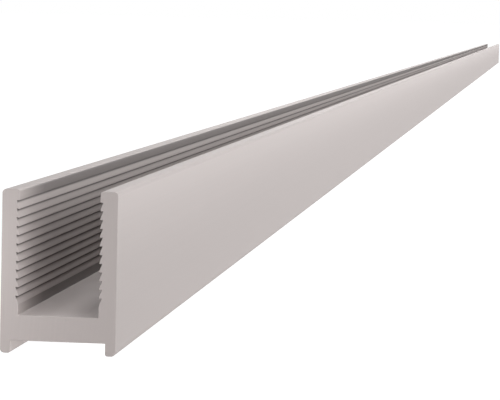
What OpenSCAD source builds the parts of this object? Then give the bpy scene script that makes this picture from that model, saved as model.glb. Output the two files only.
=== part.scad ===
// Serrated glazing channel: one straight bar of extruded aluminium.
// Its section is a U that opens upwards and stands on two shallow feet.
// Both inner walls carry a rack of barbs that hold a rubber gasket down.
// X is across the channel, Y runs along the bar and Z is up.
// The origin is the centre of the underside.

/* [Bar] */
// Length of the bar as it is sold
length = 5000; // [200:100:6000]

/* [Section] */
// Width over both walls
width = 28.5; // [24:0.1:36]
// Height from the feet to the top of the walls
height = 40; // [38:0.5:60]
// Clear width between the barb tips, which is also the width at the floor
slot_w = 19.8; // [16:0.1:22]
// Thickness of the web, between its underside and the channel floor
web_t = 6.2; // [2:0.1:8]
// Height of the feet, from the floor that the bar rests on to the web
foot_h = 3.1; // [1:0.1:5]
// Thickness of each foot
foot_t = 2.6; // [2:0.1:4]

/* [Barbs] */
// Number of barbs on each wall
barbs = 12; // [1:1:12]
// Distance from one barb to the next
barb_pitch = 2.12; // [1:0.01:2.2]
// Depth of the notch under each barb
barb_depth = 0.6; // [0.2:0.05:1]
// Flat land at the tip of each barb
barb_land = 0.15; // [0.05:0.05:0.4]
// Plain lip between the top of the wall and the first notch
lip_h = 2.7; // [1.5:0.1:4]

/* [Corners] */
// Radius of the four outer corners
outer_r = 1.1; // [0.2:0.1:1.2]
// Radius of the lips' inner corners and of the feet's inner corners
inner_r = 0.65; // [0.1:0.05:0.9]

/* [Hidden] */
$fn = 48;

// Anodised aluminium, as it looks in daylight
metal_colour = [0.76, 0.76, 0.75];

// A cutter runs this far past the face that it cuts
past = 1;

// Half sizes, because the section is symmetric about X = 0
half_w = width / 2;
slot_x = slot_w / 2;
foot_x = half_w - foot_t;

// Heights above the surface that the feet stand on
floor_z = foot_h + web_t;
notch_top_z = height - lip_h;

// What is left of a square corner outside its round, with the corner at the origin
// and the metal towards +X and +Y
module corner_waste(r) {
    difference() {
        translate([-past, -past]) square(r + past);
        translate([r, r]) circle(r);
    }
}

// Puts its child in a corner at [x, z], with the metal towards the side that
// sx and sz give, each 1 or -1
module in_corner(x, z, sx, sz) {
    translate([x, z])
        mirror([sx < 0 ? 1 : 0, 0])
            mirror([0, sz < 0 ? 1 : 0])
                children();
}

// One notch of the right wall: a flat ledge faces down at the top, and below it
// the wall slopes back to the plane of the barb tips
module notch(top_z) {
    polygon([
        [slot_x - past, top_z],
        [slot_x + barb_depth, top_z],
        [slot_x, top_z - barb_pitch + barb_land],
        [slot_x - past, top_z - barb_pitch + barb_land]
    ]);
}

// What the right half loses: the notches and the rounds of its four free corners
module right_half_waste() {
    for (i = [0 : barbs - 1])
        notch(notch_top_z - i * barb_pitch);
    in_corner(half_w, height, -1, -1) corner_waste(outer_r);
    in_corner(slot_x, height, 1, -1) corner_waste(inner_r);
    in_corner(half_w, 0, -1, 1) corner_waste(outer_r);
    in_corner(foot_x, 0, 1, 1) corner_waste(inner_r);
}

// The section, drawn with X across and Y as height
module section() {
    difference() {
        translate([-half_w, 0]) square([width, height]);
        // The slot that takes the pane
        translate([-slot_x, floor_z]) square([slot_w, height - floor_z + past]);
        // The recess between the feet
        translate([-foot_x, -past]) square([2 * foot_x, foot_h + past]);
        right_half_waste();
        mirror([1, 0]) right_half_waste();
    }
}

module u_channel() {
    color(metal_colour)
        rotate([90, 0, 0])
            translate([0, 0, -length / 2])
                linear_extrude(length) section();
}

u_channel();
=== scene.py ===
# %% [markdown]
# # A serrated glazing channel in satin anodised aluminium
#
# The object is one bar of extruded aluminium, 5 m long and 40 mm high. Its section is a U
# that opens upwards and stands on two shallow feet, and both inner walls carry a rack of
# barbs that hold a rubber gasket down beside a pane of glass.
#
# The solid model already has the exact section, so this script doesn't model it again. It
# gives the bar what a drawing leaves out: deburred edges where the saw went through, the
# fine lines that the die leaves along the metal, painted shade in the roots of the notches
# and on the plain strips of the slot, the marks of the saw on both ends, and the soft light
# of a studio.

# %% The frame: the imported model at its real size, in metres
import math

import bmesh
import bpy
from mathutils import Matrix, Vector


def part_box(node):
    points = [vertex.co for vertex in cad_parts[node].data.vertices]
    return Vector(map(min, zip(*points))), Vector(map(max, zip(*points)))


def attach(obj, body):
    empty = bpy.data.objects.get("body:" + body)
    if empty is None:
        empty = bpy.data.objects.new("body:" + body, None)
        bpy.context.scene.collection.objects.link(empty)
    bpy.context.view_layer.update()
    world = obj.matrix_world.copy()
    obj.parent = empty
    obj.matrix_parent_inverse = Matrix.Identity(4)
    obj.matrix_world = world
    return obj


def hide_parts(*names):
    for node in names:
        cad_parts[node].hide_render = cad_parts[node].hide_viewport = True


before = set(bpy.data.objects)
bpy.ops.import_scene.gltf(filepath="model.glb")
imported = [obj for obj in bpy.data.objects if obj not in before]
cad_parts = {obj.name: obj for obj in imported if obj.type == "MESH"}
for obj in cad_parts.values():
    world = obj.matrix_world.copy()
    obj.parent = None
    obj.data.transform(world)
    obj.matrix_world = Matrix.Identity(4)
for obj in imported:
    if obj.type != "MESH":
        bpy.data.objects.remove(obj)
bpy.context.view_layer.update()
MM = 0.001

low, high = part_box("u_channel")
bar_size = high - low
print("bar, in mm:", [round(side / MM, 2) for side in bar_size])

scene = bpy.context.scene
scene.view_settings.view_transform = "Standard"


# %% [markdown]
# ## Small helpers
#
# A colour picked from a screen is in sRGB, and Blender's shaders want linear light, so one
# function turns a hex value into linear numbers. A second adds a shader node together with
# its settings and its links, which keeps each material short enough to read in one go.

# %% Colour and node helpers
def hex_colour(code, factor=1.0):
    """A hex colour such as "C0B8B4" as linear RGBA, made lighter or darker by a factor."""

    def linear(c):  # the sRGB curve: a straight start, then a power
        return c / 12.92 if c <= 0.04045 else ((c + 0.055) / 1.055) ** 2.4

    channels = [int(code[i : i + 2], 16) / 255 for i in (0, 2, 4)]
    return [linear(c) * factor for c in channels] + [1.0]


def add_node(tree, kind, settings=None, **inputs):
    """Adds a node. An input is a number, a colour, or the output socket that feeds it.

    An input named _2 is the third socket, and one named From_Min is the socket From Min.
    A Mix node takes its two numbers at 2 and 3 and its two colours at 6 and 7.
    """
    made = tree.nodes.new(kind)
    for name, value in (settings or {}).items():
        setattr(made, name, value)
    for name, value in inputs.items():
        key = int(name[1:]) if name[0] == "_" else name.replace("_", " ")
        socket = made.inputs[key]
        if isinstance(value, bpy.types.NodeSocket):
            tree.links.new(value, socket)
        else:
            socket.default_value = value
    return made


print("the grey 808080 in linear light:", round(hex_colour("808080")[0], 3))


# %% [markdown]
# ## The camera
#
# The photograph looks along the bar from just in front of its near end, through a long lens
# that stacks five metres of metal into one picture. A camera can be set by eye, but along a
# bar this long a small error in its place moves the far end a long way. So the place, the
# angles and the lens come from fitting the near end's outline and the far end's place in the
# picture to the section, and they are given here as measured sizes. A camera that stands
# well to the right and above the walls shows the end, the outer side and a little of the
# slot at once.

# %% Camera
LENS_MM = 188.1
CAMERA_RIGHT_MM = 115.7
CAMERA_BEFORE_END_MM = 620.8
CAMERA_UP_MM = 82.5
CAMERA_AZIMUTH = 6.391
CAMERA_ELEVATION = 3.974
CAMERA_ROLL = 1.349
NEAREST_SEEN = 0.01
FURTHEST_SEEN = 500


def aim(azimuth, elevation, roll):
    """The turn that looks back along an azimuth and an elevation, in degrees."""
    a, e = math.radians(azimuth), math.radians(elevation)
    back = Vector((math.sin(a) * math.cos(e), -math.cos(a) * math.cos(e), math.sin(e)))
    turn = (-back).to_track_quat("-Z", "Y").to_matrix().to_4x4()
    return turn @ Matrix.Rotation(math.radians(roll), 4, "Z")


camera_data = bpy.data.cameras.new("camera")
camera_data.lens = LENS_MM
camera_data.clip_start = NEAREST_SEEN
camera_data.clip_end = FURTHEST_SEEN
camera = bpy.data.objects.new("camera", camera_data)
scene.collection.objects.link(camera)
camera_place = Vector(
    (CAMERA_RIGHT_MM * MM, low.y - CAMERA_BEFORE_END_MM * MM, CAMERA_UP_MM * MM)
)
camera.matrix_world = Matrix.Translation(camera_place) @ aim(
    CAMERA_AZIMUTH, CAMERA_ELEVATION, CAMERA_ROLL
)
scene.camera = camera
print("camera at", [round(c, 3) for c in camera_place], "m with a lens of", LENS_MM, "mm")


# %% [markdown]
# ## The bar
#
# The solid model arrives as loose triangles. A copy of it is welded into one clean mesh:
# doubled corners are merged, and the triangles of each flat face are dissolved into one
# face. Then only the rims of the two sawn ends get a narrow bevel, as a file or a brush
# leaves after the saw. A Bevel modifier would round every sharp edge, also those along the
# bar, which should stay as the die made them. So the rims are picked by their place, and a
# bmesh operator bevels them alone.

# %% The bar, welded and deburred
WELD_MM = 0.001
FLAT_WITHIN = math.radians(0.5)
ON_END_WITHIN_MM = 0.01
DEBURR_MM = 0.12
SHARP_FROM = math.radians(20)
FACES_ALONG = 0.99


def weld_bar(source):
    """A clean bmesh of the bar, with each flat side as one face."""
    bm = bmesh.new()
    bm.from_mesh(source.data)
    bmesh.ops.remove_doubles(bm, verts=bm.verts, dist=WELD_MM * MM)
    bmesh.ops.dissolve_limit(bm, angle_limit=FLAT_WITHIN, verts=bm.verts, edges=bm.edges)
    return bm


def on_end(vertex):
    """True for a corner that lies on one of the two sawn ends."""
    from_end = min(abs(vertex.co.y - low.y), abs(vertex.co.y - high.y))
    return from_end < ON_END_WITHIN_MM * MM


bar_bm = weld_bar(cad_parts["u_channel"])
rims = [e for e in bar_bm.edges if all(on_end(v) for v in e.verts)]
bmesh.ops.bevel(
    bar_bm, geom=rims, offset=DEBURR_MM * MM, offset_type="OFFSET",
    segments=2, profile=0.5, affect="EDGES", material=-1,
)
print("bar:", len(rims), "rim edges deburred,", len(bar_bm.faces), "faces now")


# %% [markdown]
# ## Which faces are sawn
#
# The two ends were cut after the extrusion, so they get a finish of their own in the second
# material slot. In the editor their faces would be picked by hand. Here they are the faces
# that look along the bar, which a face's normal tells. Corners sharper than 20 degrees stay
# sharp in the shading, and the small steps of each round are smoothed over.

# %% Slots, smooth shading and the finished mesh
EXTRUDED, SAWN = 0, 1

for face in bar_bm.faces:
    face.smooth = True
    face.material_index = SAWN if abs(face.normal.y) > FACES_ALONG else EXTRUDED
for edge in bar_bm.edges:
    edge.smooth = edge.calc_face_angle(math.pi) < SHARP_FROM

bar_mesh = bpy.data.meshes.new("anodised_bar")
bar_bm.to_mesh(bar_mesh)
bar_bm.free()
bar = bpy.data.objects.new("anodised_bar", bar_mesh)
scene.collection.objects.link(bar)
print("sawn faces:", sum(p.material_index == SAWN for p in bar_mesh.polygons))


# %% [markdown]
# ## Satin anodised aluminium
#
# The bar was pushed hot through a steel die, etched matt in caustic soda and anodised. The
# etch spreads every reflection into a soft sheen, and the oxide over it scatters part of the
# light before it reaches the metal. A fully metallic shader looks too much like a mirror for
# that, so half of the surface answers as metal and half as a matt coat, and the index of
# refraction stays at its default. Every mark on the bar, from the die or the saw, differs
# from the metal beside it by a few hundredths in tone and a little in sheen, so one function
# turns a pattern into both.

# %% The metal that both finishes share
ANODISED_GREY = "B3ABA9"
METAL_SHARE = 0.5
TONE_SPREAD = 0.05


def anodised(name):
    """A new finish: its material, tree, Principled node and object coordinates."""
    material = bpy.data.materials.new(name)
    material.use_nodes = True
    tree = material.node_tree
    shader = tree.nodes["Principled BSDF"]
    shader.inputs["Metallic"].default_value = METAL_SHARE
    place = tree.nodes.new("ShaderNodeTexCoord").outputs["Object"]
    return material, tree, shader, place


def tone_and_sheen(tree, pattern, roughness):
    """The colour and the roughness of a surface whose marks follow a pattern."""
    tone = add_node(
        tree, "ShaderNodeMix", {"data_type": "RGBA"}, Factor=pattern,
        _6=hex_colour(ANODISED_GREY, 1 - TONE_SPREAD),
        _7=hex_colour(ANODISED_GREY, 1 + TONE_SPREAD),
    )
    sheen = add_node(
        tree, "ShaderNodeMapRange", Value=pattern, To_Min=roughness[0], To_Max=roughness[1],
    )
    return tone.outputs[2], sheen.outputs[0]


print("anodised grey in linear light:", [round(c, 3) for c in hex_colour(ANODISED_GREY)[:3]])


# %% [markdown]
# ## Places on the metal
#
# A point on the bar is known by how far it lies from the middle, how far along it is and how
# high it sits. Texture Coordinate's Object output gives these three lengths in metres. A
# tone that belongs to one place could be painted into a picture, but a painted picture has
# to be kept beside the script and blurs close up. Math nodes that test the lengths stay
# sharp at any distance, so two small functions add them.

# %% Tests on a length
def math_node(tree, operation, *values):
    """One Math node's output."""
    numbered = {f"_{i}": value for i, value in enumerate(values)}
    return add_node(tree, "ShaderNodeMath", {"operation": operation}, **numbered).outputs[0]


def between(tree, value, span_mm):
    """1 where a length lies inside a span, and 0 elsewhere."""
    over = math_node(tree, "GREATER_THAN", value, span_mm[0] * MM)
    under = math_node(tree, "LESS_THAN", value, span_mm[1] * MM)
    return math_node(tree, "MULTIPLY", over, under)


print("spans are given in mm and tested in metres, where 1 mm is", MM)


# %% [markdown]
# ## Painted shade in the slot
#
# Two parts of the slot's walls are darker than the lamps alone make them, and that shade is
# painted into the metal's colour: the roots of the notches, where the shade under each barb
# falls, and the plain strips above and below the rack, which stand upright and catch less of
# the light from above than the barbs that tilt up towards it. Near each sawn end, light comes
# in through the slot's mouth, so the painted shade on the strips fades out there.
#
# Lamps were tried first, but under every one of them the strip above the rack got at least
# as much light as the barb below it. So the shade is painted into the colour, and it stays
# under any light.

# %% The roots of the notches and the plain strips, as distances in mm
RACK_UP_MM = (11.86, 37.3)  # the rack's lowest and highest point
NOTCH_ACROSS_MM = (9.9, 10.6)  # from the barbs' tips to just past the roots, off the middle
ROOT_FROM_MM = (10.3, 10.38)  # where the painted shade starts and where it is full
STRIP_ACROSS_MM = (9.85, 10.0)  # the strips are level with the tips, 9.9 off the middle
STRIP_SHADE_FADE_MM = 32.0  # the length at each end over which the strips' painted shade fades out
# painted shade: how far the roots and the strips are darkened towards black
ROOT_SHADE = 0.6
STRIP_SHADE = 0.51


def painted_slot_shade(tree, place):
    """How much painted shade darkens the slot's wall at a place: 0 is none."""
    x, y, z = add_node(tree, "ShaderNodeSeparateXYZ", Vector=place).outputs
    across = math_node(tree, "ABSOLUTE", x)
    depth = add_node(
        tree, "ShaderNodeMapRange", Value=across,
        From_Min=ROOT_FROM_MM[0] * MM, From_Max=ROOT_FROM_MM[1] * MM, To_Max=ROOT_SHADE,
    )
    root = math_node(
        tree, "MULTIPLY", depth.outputs[0], between(tree, across, NOTCH_ACROSS_MM)
    )
    # the strips' painted shade, fading out near each sawn end where light comes in at the
    # mouth
    painted_strip_shade = add_node(
        tree, "ShaderNodeMapRange", Value=math_node(tree, "ABSOLUTE", y),
        From_Min=high.y, From_Max=high.y - STRIP_SHADE_FADE_MM * MM, To_Max=STRIP_SHADE,
    )
    strip = math_node(
        tree, "MULTIPLY", painted_strip_shade.outputs[0], between(tree, across, STRIP_ACROSS_MM)
    )
    in_rack = between(tree, z, RACK_UP_MM)
    # painted shade on the roots inside the rack, and on the strips above and below it
    shade = add_node(
        tree, "ShaderNodeMix", {"data_type": "FLOAT"}, Factor=in_rack, _2=strip, _3=root,
    )
    return shade.outputs[0]


print("rack from", RACK_UP_MM[0], "to", RACK_UP_MM[1], "mm up, painted strip shade fades over", STRIP_SHADE_FADE_MM, "mm")


# %% [markdown]
# ## The metal as extruded
#
# What is left of the die are faint lines that run along the whole bar. They are a noise on
# the object coordinates, stretched hard along Y, because a real die line is a long scratch
# and not a grain. The etch leaves a fine frost over them, which is a second noise that only
# tilts the surface. Both are drawn coarser than they are: real die lines lie about 0.1 mm
# apart and the frost is finer than 0.05 mm, too fine to show from half a metre away.

# %% Satin anodised aluminium, as extruded: soft grey with a faint lengthwise grain
DIE_LINE_MM = 0.35
DIE_LINE_RUN_MM = 900.0
ETCH_GRAIN_MM = 0.25
FROST_DEPTH_MM = 0.05
FROST_STRENGTH = 0.3
EXTRUDED_ROUGHNESS = (0.56, 0.66)


def extruded_anodised():
    material, tree, shader, place = anodised("satin_anodised_extrusion")
    across, along = 1 / (DIE_LINE_MM * MM), 1 / (DIE_LINE_RUN_MM * MM)
    stretched = add_node(
        tree, "ShaderNodeMapping", Vector=place, Scale=(across, along, across),
    )
    die_lines = add_node(
        tree, "ShaderNodeTexNoise", Vector=stretched.outputs[0], Scale=1.0, Detail=2.0,
    )
    tone, sheen = tone_and_sheen(tree, die_lines.outputs[0], EXTRUDED_ROUGHNESS)
    # painted shade: the slot's roots and plain strips are darkened towards black in the
    # colour
    tone_with_painted_shade = add_node(
        tree, "ShaderNodeMix", {"data_type": "RGBA"}, Factor=painted_slot_shade(tree, place),
        _6=tone, _7=hex_colour("000000"),
    )
    frost = add_node(
        tree, "ShaderNodeTexNoise", Vector=place, Scale=1 / (ETCH_GRAIN_MM * MM), Detail=1.0,
    )
    relief = add_node(
        tree, "ShaderNodeBump", Strength=FROST_STRENGTH, Distance=FROST_DEPTH_MM * MM,
        Height=frost.outputs[0],
    )
    tree.links.new(tone_with_painted_shade.outputs[2], shader.inputs["Base Color"])
    tree.links.new(sheen, shader.inputs["Roughness"])
    tree.links.new(relief.outputs[0], shader.inputs["Normal"])
    return material


bar_mesh.materials.append(extruded_anodised())
print("first slot:", bar_mesh.materials[EXTRUDED].name)


# %% [markdown]
# ## The sawn end
#
# A circular saw with a blade far larger than the bar cuts it to length. Each tooth leaves a
# shallow arc, so the marks are rings about a centre that lies well to one side of the bar.
# The distance from that centre drives a noise of one dimension, which gives rings of uneven
# weight where a wave texture would give even ones. The etch and the anodising went over
# them, so they show as a faint change of sheen. Real ones lie about 0.1 mm apart, and these
# are coarser so that they show.

# %% Satin anodised aluminium, as sawn: a matt grey with faint arcs
SAW_RADIUS_MM = 175.0
SAW_MARK_MM = 0.6
SAWN_ROUGHNESS = (0.58, 0.7)


def sawn_anodised():
    material, tree, shader, place = anodised("satin_anodised_saw_cut")
    about_blade = add_node(
        tree, "ShaderNodeMapping", {"vector_type": "TEXTURE"}, Vector=place,
        Location=(-SAW_RADIUS_MM * MM, 0, bar_size.z / 2),
    )
    x, _, z = add_node(tree, "ShaderNodeSeparateXYZ", Vector=about_blade.outputs[0]).outputs
    flat = add_node(tree, "ShaderNodeCombineXYZ", X=x, Z=z)
    distance = add_node(
        tree, "ShaderNodeVectorMath", {"operation": "LENGTH"}, _0=flat.outputs[0],
    )
    marks_at = math_node(tree, "MULTIPLY", distance.outputs["Value"], 1 / (SAW_MARK_MM * MM))
    marks = add_node(
        tree, "ShaderNodeTexNoise", {"noise_dimensions": "1D"}, W=marks_at,
        Scale=1.0, Detail=2.0,
    )
    tone, sheen = tone_and_sheen(tree, marks.outputs[0], SAWN_ROUGHNESS)
    tree.links.new(tone, shader.inputs["Base Color"])
    tree.links.new(sheen, shader.inputs["Roughness"])
    return material


bar_mesh.materials.append(sawn_anodised())
print("second slot:", bar_mesh.materials[SAWN].name)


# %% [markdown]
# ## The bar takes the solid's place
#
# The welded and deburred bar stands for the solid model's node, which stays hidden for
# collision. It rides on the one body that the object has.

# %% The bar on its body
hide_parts("u_channel")
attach(bar, "root")
print("pieces: 1, the bar itself")


# %% [markdown]
# ## The white studio
#
# A product picture on white needs a ground that reads as pure white without blowing out the
# metal. More light on the object would do that, but it would wash out its greys. Here the
# floor and the world only look white: Light Path tells which rays come straight from the
# camera, from a reflection or through glass, and those see white. All other rays see a matt
# floor and a dark world, so the bar gets real bounce light from below and none from the
# white behind it.

# %% What sees the white ground
def seen_directly(tree):
    """1 for rays from the camera, from gloss or through glass, and 0 for the rest."""
    rays = tree.nodes.new("ShaderNodeLightPath").outputs
    mirrored = math_node(tree, "MAXIMUM", rays["Is Glossy Ray"], rays["Is Transmission Ray"])
    return math_node(tree, "MAXIMUM", rays["Is Camera Ray"], mirrored)


print("the ground is white to the camera, in gloss and through glass")


# %% [markdown]
# ## The floor
#
# The floor stands for a large sheet of white paper. Plain emission would make it white at
# once, but without any shadow, and then the bar would seem to float. So a fifth of what the
# camera sees is still the matt sheet, which keeps a faint trace of the bar's shadow. The
# white part is a little stronger than 1 to make up for that fifth, and the sum is white.

# %% The floor
FLOOR_SIZE = 400.0  # in metres, so that its edge lies far behind the bar from any side
FLOOR_DROP_MM = 0.05  # the floor lies this far under the feet, so that the two never flicker
PAPER_WHITE = "E7E7E7"
WHITE_SHARE = 0.8
WHITE_STRENGTH = 1.23


def matt_white_paper():
    material = bpy.data.materials.new("matt_white_paper")
    material.use_nodes = True
    material.cycles.emission_sampling = "NONE"
    tree = material.node_tree
    tree.nodes.remove(tree.nodes["Principled BSDF"])
    matt = add_node(tree, "ShaderNodeBsdfDiffuse", Color=hex_colour(PAPER_WHITE))
    white = add_node(tree, "ShaderNodeEmission", Strength=WHITE_STRENGTH)
    share = math_node(tree, "MULTIPLY", seen_directly(tree), WHITE_SHARE)
    seen = add_node(
        tree, "ShaderNodeMixShader", _0=share, _1=matt.outputs[0], _2=white.outputs[0],
    )
    tree.links.new(seen.outputs[0], tree.nodes["Material Output"].inputs["Surface"])
    return material


def pale_floor():
    bm = bmesh.new()
    bmesh.ops.create_grid(bm, x_segments=1, y_segments=1, size=FLOOR_SIZE / 2)
    bmesh.ops.translate(bm, verts=bm.verts, vec=(0, 0, -FLOOR_DROP_MM * MM))
    mesh = bpy.data.meshes.new("pale_floor")
    bm.to_mesh(mesh)
    bm.free()
    mesh.materials.append(matt_white_paper())
    floor = bpy.data.objects.new("pale_floor", mesh)
    scene.collection.objects.link(floor)
    print("floor:", FLOOR_SIZE, "m square")


pale_floor()


# %% [markdown]
# ## The world
#
# Past the floor's edge the camera sees the world, which has to be as white as the floor, so
# that no horizon shows. A world that also lit the scene would reach into the slot from every
# side and take its shadows away. This one is white only for the rays that see it directly,
# and black for all others.

# %% The world
def white_world():
    world = bpy.data.worlds.new("white_studio")
    scene.world = world
    world.use_nodes = True
    tree = world.node_tree
    background = tree.nodes["Background"]
    background.inputs["Color"].default_value = hex_colour("FFFFFF")
    tree.links.new(seen_directly(tree), background.inputs["Strength"])
    print("world:", world.name)


white_world()


# %% [markdown]
# ## Far softboxes
#
# The bar is 5 m long and only 40 mm high, so a softbox near one end would leave the other
# dark. A sun lamp with a wide angle is a softbox that stands very far away, so it lights all
# five metres alike. Two of them are the key light, low at the front right: one for the outer
# side and one for the cut end. A third stands low behind at the left, for the side and the
# end that the photograph doesn't show.

# %% Far softboxes
def far_softbox(name, strength, azimuth, elevation, spread):
    """A sun lamp. Azimuth 0 stands at +X and -90 in front; the angles are in degrees."""
    data = bpy.data.lights.new(name, "SUN")
    data.energy = strength
    data.angle = math.radians(spread)
    lamp = bpy.data.objects.new(name, data)
    scene.collection.objects.link(lamp)
    a, e = math.radians(azimuth), math.radians(elevation)
    towards = Vector((math.cos(a) * math.cos(e), math.sin(a) * math.cos(e), math.sin(e)))
    lamp.rotation_euler = (-towards).to_track_quat("-Z", "Y").to_euler()
    print(name, "from azimuth", azimuth, "and elevation", elevation)


far_softbox("key_right", strength=1.05, azimuth=-20, elevation=20, spread=30)
far_softbox("key_front", strength=0.97, azimuth=-50, elevation=8, spread=30)
far_softbox("fill_back_left", strength=1.2, azimuth=150, elevation=12, spread=50)


# %% [markdown]
# ## Tubes along the bar
#
# Three tube lamps run along the bar. One hangs above and to the right: it lights the tops of
# the walls and the channel floor, and the right wall keeps it off the floor's right part.
# One lies close to the right side at the height of the wall's top. Because it is so close,
# the side is brightest along its top edge and falls off downwards, and because it is no
# higher than the wall, it hardly reaches into the slot. The third hangs above and to the
# left, and stops short of the bar's near end, because in the photograph the tops of the
# walls and the left wall's rounded edge grow lighter with distance.
#
# A lamp's own width matters as much as its power: a wide one would blur the shadows that the
# barbs throw on each other.

# %% Tubes along the bar
OVERHANG = 0.2  # how far a tube runs past the bar's end, in metres
TUBE_LENGTH = bar_size.y + 2 * OVERHANG
FAR_TUBE_START = 0.45  # how far behind the near end the third tube starts
FAR_TUBE_LENGTH = bar_size.y + OVERHANG - FAR_TUBE_START
FAR_TUBE_MIDDLE = high.y + OVERHANG - FAR_TUBE_LENGTH / 2


def near_softbox(name, watts, place, target, size):
    """An area lamp, placed in metres. The first size runs level, the second up its face."""
    data = bpy.data.lights.new(name, "AREA")
    data.shape = "RECTANGLE"
    data.size, data.size_y = size
    data.energy = watts
    lamp = bpy.data.objects.new(name, data)
    scene.collection.objects.link(lamp)
    lamp.location = place
    lamp.rotation_euler = (Vector(target) - Vector(place)).to_track_quat("-Z", "Y").to_euler()
    lamp.visible_camera = False
    print(name, "of", watts, "W at", [round(c / MM, 1) for c in place], "mm")


near_softbox(
    "tube_above", watts=1.9, size=(TUBE_LENGTH, 0.03),
    place=(0.05, 0, 0.2), target=(0, 0, 0.03),
)
near_softbox(
    "tube_right", watts=0.22, size=(TUBE_LENGTH, 0.01),
    place=(0.04, 0, 0.042), target=(0.014, 0, 0.035),
)
near_softbox(
    "tube_over_far_part", watts=0.9, size=(FAR_TUBE_LENGTH, 0.03),
    place=(-0.05, FAR_TUBE_MIDDLE, 0.18), target=(0, FAR_TUBE_MIDDLE, 0.04),
)


# %% [markdown]
# ## Small lamps at the cut end
#
# The cut end is the part that the picture shows largest, so it gets three lamps of its own,
# each a few centimetres across or less. One stands to the left of the end and gives it the
# slow fall of light from left to right. One stands in the slot's mouth and lifts the first
# few centimetres of the barbs, where daylight would come in. A thin one between the feet
# opens the shadow on the inner side of the left foot.

# %% Small lamps at the cut end
near_softbox(
    "end_face_left", watts=0.0105, size=(0.02, 0.02),
    place=(-0.045, low.y - 0.018, 0.026), target=(0, low.y, 0.022),
)
near_softbox(
    "mouth_fill", watts=0.0019, size=(0.016, 0.02),
    place=(0.0085, low.y + 0.006, 0.0285), target=(-0.01, low.y + 0.015, 0.0285),
)
near_softbox(
    "under_web", watts=0.003, size=(0.05, 0.002),
    place=(0.0112, low.y + 0.026, 0.0015), target=(-0.02, low.y + 0.026, 0.0015),
)
